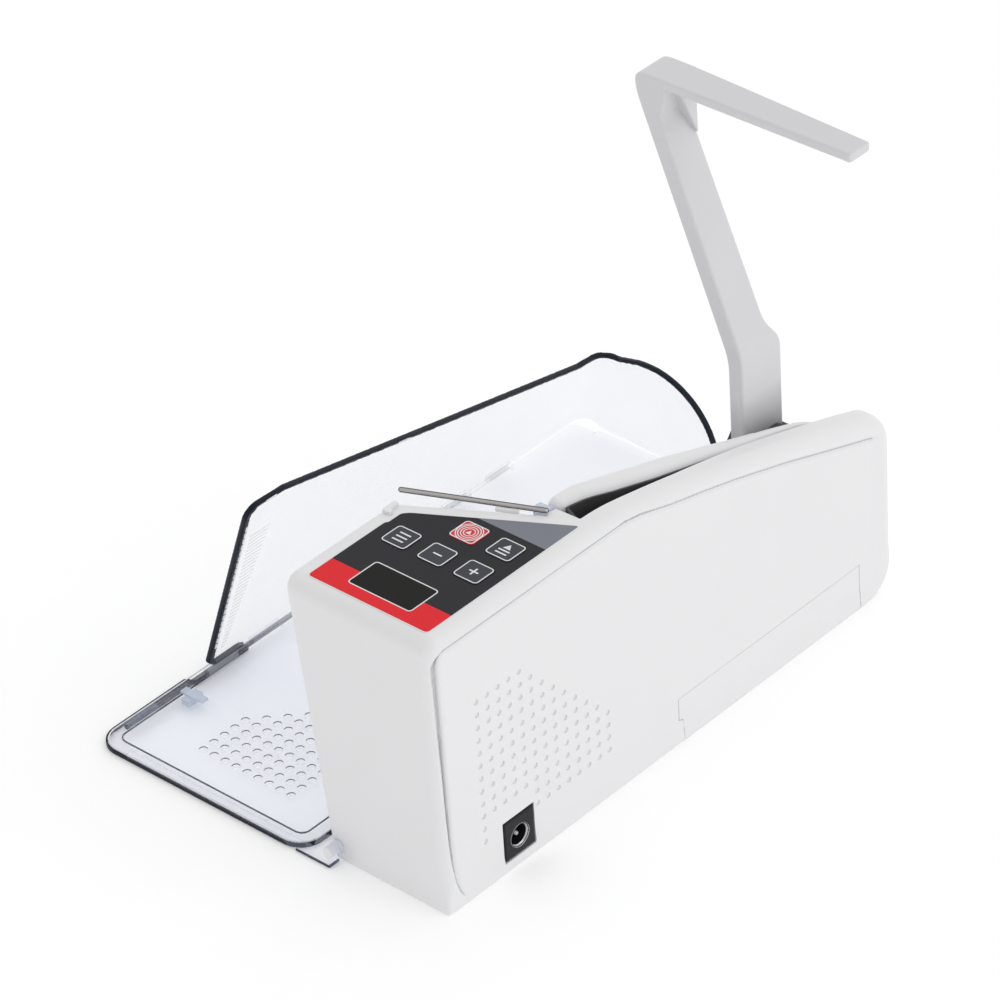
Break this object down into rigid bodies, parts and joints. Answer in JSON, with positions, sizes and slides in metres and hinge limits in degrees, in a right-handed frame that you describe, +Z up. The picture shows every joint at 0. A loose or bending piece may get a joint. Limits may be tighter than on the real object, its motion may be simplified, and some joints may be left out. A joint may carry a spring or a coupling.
{
  "type": "portable banknote counter",
  "caption": "Wedge-shaped portable banknote counter with angled control panel, top note slot, fold-down support arm and a folding clear tray with cover.",
  "frame": {"origin": "middle of the underside of the body, on the desk", "axes": "+X along the body away from the control panel, +Y from the rear face towards the tray, +Z up"},
  "size_m": [0.2415, 0.1808, 0.206],
  "materials": {
    "white_plastic": "fine satin texture",
    "panel_film": "printed film",
    "display_lens": "dark tinted window",
    "black_plastic": "moulded",
    "red_key": "printed",
    "dark_key": "printed",
    "circuit_board": "solder mask",
    "dark_liner": "moulded",
    "wire_chrome": "polished",
    "frosted_plastic": "translucent",
    "arm_plastic": "satin",
    "steel": "plated",
    "clear_plastic": "clear polished, dark edges",
    "motor_can": "plated",
    "brass": "turned",
    "nylon": "natural",
    "rubber": "matte",
    "red_rubber": "matte",
    "cell_wrap": "plain sleeve"
  },
  "bodies": {
    "chassis": {"rear_shell": "white_plastic", "front_shell": "white_plastic", "bottom_cover": "white_plastic", "control_overlay": "panel_film", "display_window": "display_lens", "display_module": "black_plastic", "key_board": "circuit_board", "main_board": "circuit_board", "buzzer": "black_plastic", "dc_jack": "black_plastic", "hopper_liner": "dark_liner", "guide_wire": "wire_chrome", "wire_holder": "frosted_plastic", "lid_catch": "white_plastic", "arm_bracket": "dark_liner", "arm_pin": "steel", "tray_pins": "white_plastic", "motor": "motor_can", "motor_bracket": "steel", "pinch_shaft": "steel", "retard_shaft": "steel", "left_side_plate": "steel", "right_side_plate": "steel", "shaft_bushes": "brass", "note_sensor": "circuit_board", "uv_sensor": "circuit_board", "battery_holder": "black_plastic", "aa_cells": "cell_wrap", "battery_contacts": "steel", "case_screws": "steel", "foot_pads": "rubber"},
    "battery_door": {"battery_door": "white_plastic"},
    "start_key": {"start_key": "red_key"},
    "batch_key": {"batch_key": "dark_key"},
    "add_key": {"add_key": "dark_key"},
    "plus_key": {"plus_key": "dark_key"},
    "minus_key": {"minus_key": "dark_key"},
    "arm": {"note_arm": "arm_plastic"},
    "tray": {"tray": "clear_plastic", "tray_clip": "frosted_plastic", "cover_pin": "steel"},
    "cover": {"cover": "clear_plastic"},
    "feed": {"feed_shaft": "steel", "feed_gear": "nylon", "feed_rollers": "rubber"},
    "outfeed": {"outfeed_shaft": "steel", "outfeed_gear": "nylon", "outfeed_rollers": "rubber", "encoder_disc": "black_plastic"},
    "motor_rotor": {"motor_pinion": "brass"},
    "pinch": {"pinch_rollers": "rubber"},
    "retard": {"retard_rollers": "red_rubber"}
  },
  "joints": [
    {"name": "tray_fold", "type": "hinge", "parent": "chassis", "child": "tray", "pos_m": [0, 0.0215, 0.006], "axis": [1, 0, 0], "range_deg": [0, 75]},
    {"name": "cover_fold", "type": "hinge", "parent": "tray", "child": "cover", "pos_m": [0, 0.122, 0.004], "axis": [1, 0, 0], "range_deg": [-52.5, 0]},
    {"name": "arm_fold", "type": "hinge", "parent": "chassis", "child": "arm", "pos_m": [0.0709, -0.0024, 0.074], "axis": [0, 1, 0], "range_deg": [-60, 0]},
    {"name": "battery_door_slide", "type": "slide", "parent": "chassis", "child": "battery_door", "axis": [0, -1, 0], "range_m": [0, 0.03]},
    {"name": "start_press", "type": "slide", "parent": "chassis", "child": "start_key", "axis": [0, 0, -1], "range_m": [0, 0.0005], "stiffness_N_per_m": 600},
    {"name": "batch_press", "type": "slide", "parent": "chassis", "child": "batch_key", "axis": [0, 0, -1], "range_m": [0, 0.0005], "stiffness_N_per_m": 600},
    {"name": "add_press", "type": "slide", "parent": "chassis", "child": "add_key", "axis": [0, 0, -1], "range_m": [0, 0.0005], "stiffness_N_per_m": 600},
    {"name": "plus_press", "type": "slide", "parent": "chassis", "child": "plus_key", "axis": [0, 0, -1], "range_m": [0, 0.0005], "stiffness_N_per_m": 600},
    {"name": "minus_press", "type": "slide", "parent": "chassis", "child": "minus_key", "axis": [0, 0, -1], "range_m": [0, 0.0005], "stiffness_N_per_m": 600},
    {"name": "feed_spin", "type": "hinge", "parent": "chassis", "child": "feed", "pos_m": [0, 0.0036, 0.046], "axis": [1, 0, 0], "continuous": true},
    {"name": "outfeed_spin", "type": "hinge", "parent": "chassis", "child": "outfeed", "pos_m": [0, 0.0119, 0.02031], "axis": [1, 0, 0], "continuous": true},
    {"name": "motor_spin", "type": "hinge", "parent": "chassis", "child": "motor_rotor", "pos_m": [0, -0.00022, 0.06767], "axis": [1, 0, 0], "continuous": true},
    {"name": "pinch_spin", "type": "hinge", "parent": "chassis", "child": "pinch", "pos_m": [0, 0.016, 0.03291], "axis": [1, 0, 0], "continuous": true},
    {"name": "retard_spin", "type": "hinge", "parent": "chassis", "child": "retard", "pos_m": [0, -0.0133, 0.047], "axis": [1, 0, 0], "continuous": true}
  ],
  "couplings": [
    {"joint": "cover_fold", "follows": "tray_fold", "ratio": -0.69},
    {"joint": "outfeed_spin", "follows": "feed_spin", "ratio": -1.5714},
    {"joint": "motor_spin", "follows": "feed_spin", "ratio": -3},
    {"joint": "pinch_spin", "follows": "feed_spin", "ratio": 2.8571},
    {"joint": "retard_spin", "follows": "feed_spin", "ratio": -2.037}
  ]
}
